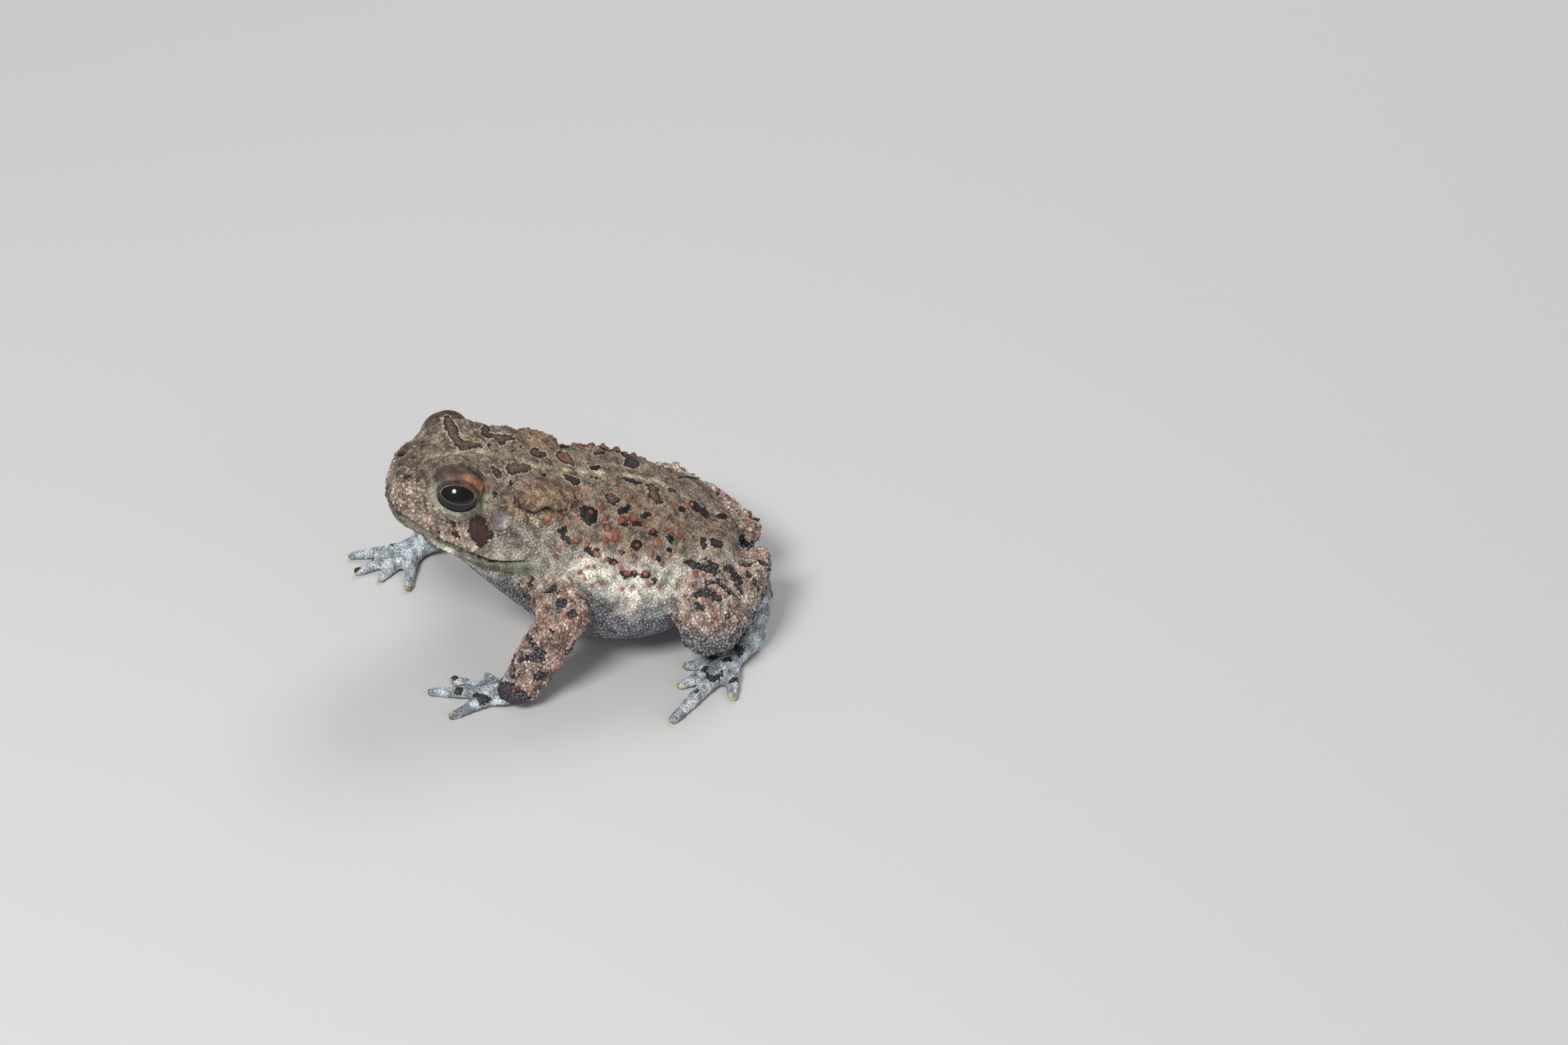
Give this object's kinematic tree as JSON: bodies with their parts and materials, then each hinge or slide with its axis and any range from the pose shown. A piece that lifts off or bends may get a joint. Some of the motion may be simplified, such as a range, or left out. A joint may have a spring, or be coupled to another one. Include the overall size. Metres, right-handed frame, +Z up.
{
  "type": "american toad",
  "caption": "Life-size model of a sitting American toad: warty skin, raised eye crests and long glands behind the eyes, head up, webbed feet flat on the floor.",
  "frame": {"origin": "floor point under the centre of the toad's bounding box", "axes": "+Z up from the floor; -Y towards the snout, +Y towards the vent; +X towards the toad's left side"},
  "size_m": [0.0634, 0.0688, 0.0385],
  "materials": {
    "back_skin": "matt, warty, brown with dark spots",
    "limb_skin": "matt, granular, pinkish brown with dark bands",
    "foot_skin": "satin, blue-grey with dark bars",
    "eye": "wet gloss, near black with a thin gold ring"
  },
  "bodies": {
    "root": {"head": "back_skin", "torso": "back_skin", "eye_l": "eye", "eye_r": "eye", "upper_arm_l": "limb_skin", "upper_arm_r": "limb_skin", "forearm_l": "limb_skin", "forearm_r": "limb_skin", "hand_l": "foot_skin", "hand_r": "foot_skin", "thigh_l": "limb_skin", "thigh_r": "limb_skin", "shank_l": "limb_skin", "shank_r": "limb_skin", "foot_l": "foot_skin", "foot_r": "foot_skin"}
  },
  "joints": []
}
